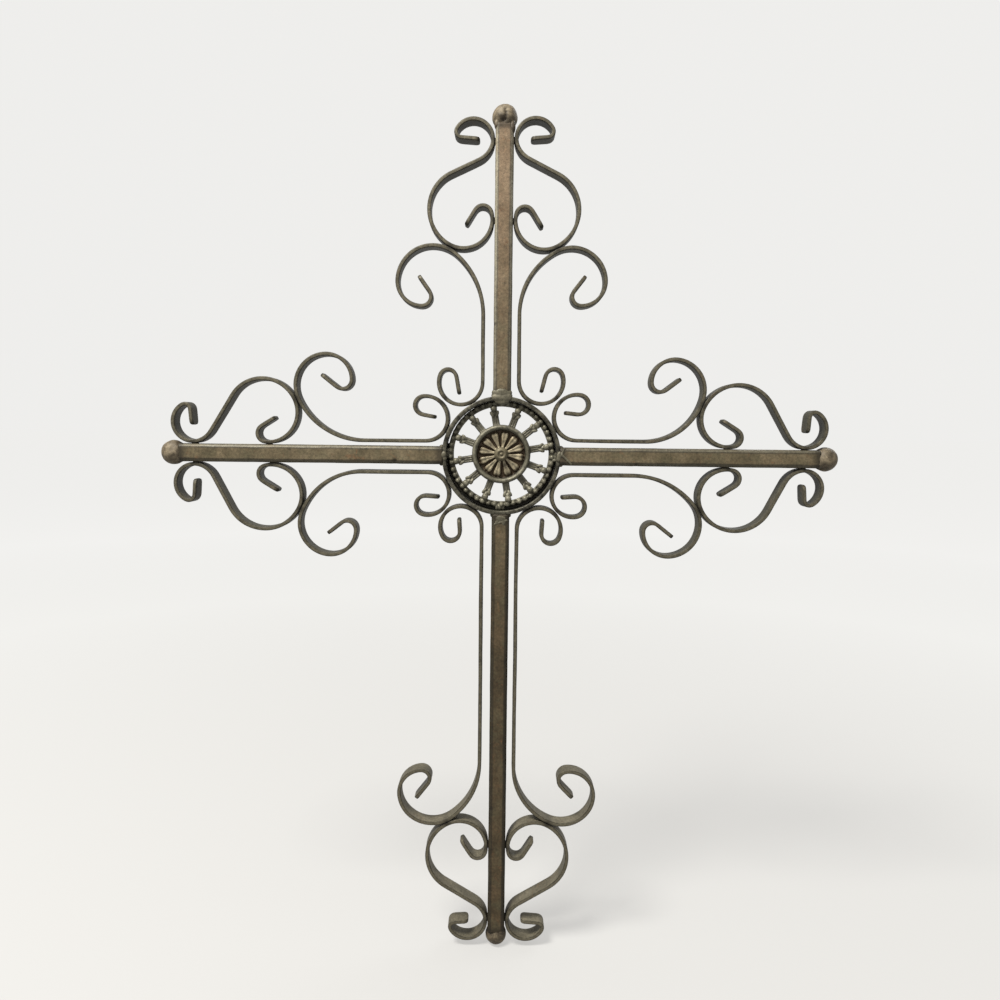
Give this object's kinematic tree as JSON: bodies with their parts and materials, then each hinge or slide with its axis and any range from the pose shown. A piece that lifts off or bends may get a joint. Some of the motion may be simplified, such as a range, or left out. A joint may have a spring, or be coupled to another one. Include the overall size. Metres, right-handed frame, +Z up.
{
  "type": "wrought iron wall cross",
  "caption": "Wall cross of square iron bars with ball ends, a cast openwork medallion in a hoop at the crossing, and bent strap scrolls in pairs along each arm.",
  "frame": {"origin": "on the flat back of the upper bar, 70 mm above the middle of the crossing, where the cross bears on its wall", "axes": "+Z up along the upright, +X to the viewer's right, +Y into the wall; the front faces -Y"},
  "size_m": [0.484, 0.0173, 0.6123],
  "materials": {
    "bar": "brown bronze-toned patina, semi-gloss, mottled, with worn darker corners",
    "strap": "dark olive-brown patina, semi-gloss, paler along the front edges",
    "ball": "bronze-toned patina, semi-gloss, darker in the weld at the neck",
    "hoop": "dark olive-brown patina with weld beads at the four bars",
    "medallion": "dark cast metal, dry-brushed pale bronze on the high points"
  },
  "bodies": {
    "root": {"hoop": "hoop", "medallion": "medallion", "upper_bar": "bar", "upper_ball": "ball", "upper_long_scroll_a": "strap", "upper_long_scroll_b": "strap", "upper_s_scroll_a": "strap", "upper_s_scroll_b": "strap", "right_bar": "bar", "right_ball": "ball", "right_long_scroll_a": "strap", "right_long_scroll_b": "strap", "right_s_scroll_a": "strap", "right_s_scroll_b": "strap", "lower_bar": "bar", "lower_ball": "ball", "lower_long_scroll_a": "strap", "lower_long_scroll_b": "strap", "lower_s_scroll_a": "strap", "lower_s_scroll_b": "strap", "left_bar": "bar", "left_ball": "ball", "left_long_scroll_a": "strap", "left_long_scroll_b": "strap", "left_s_scroll_a": "strap", "left_s_scroll_b": "strap"}
  },
  "joints": []
}
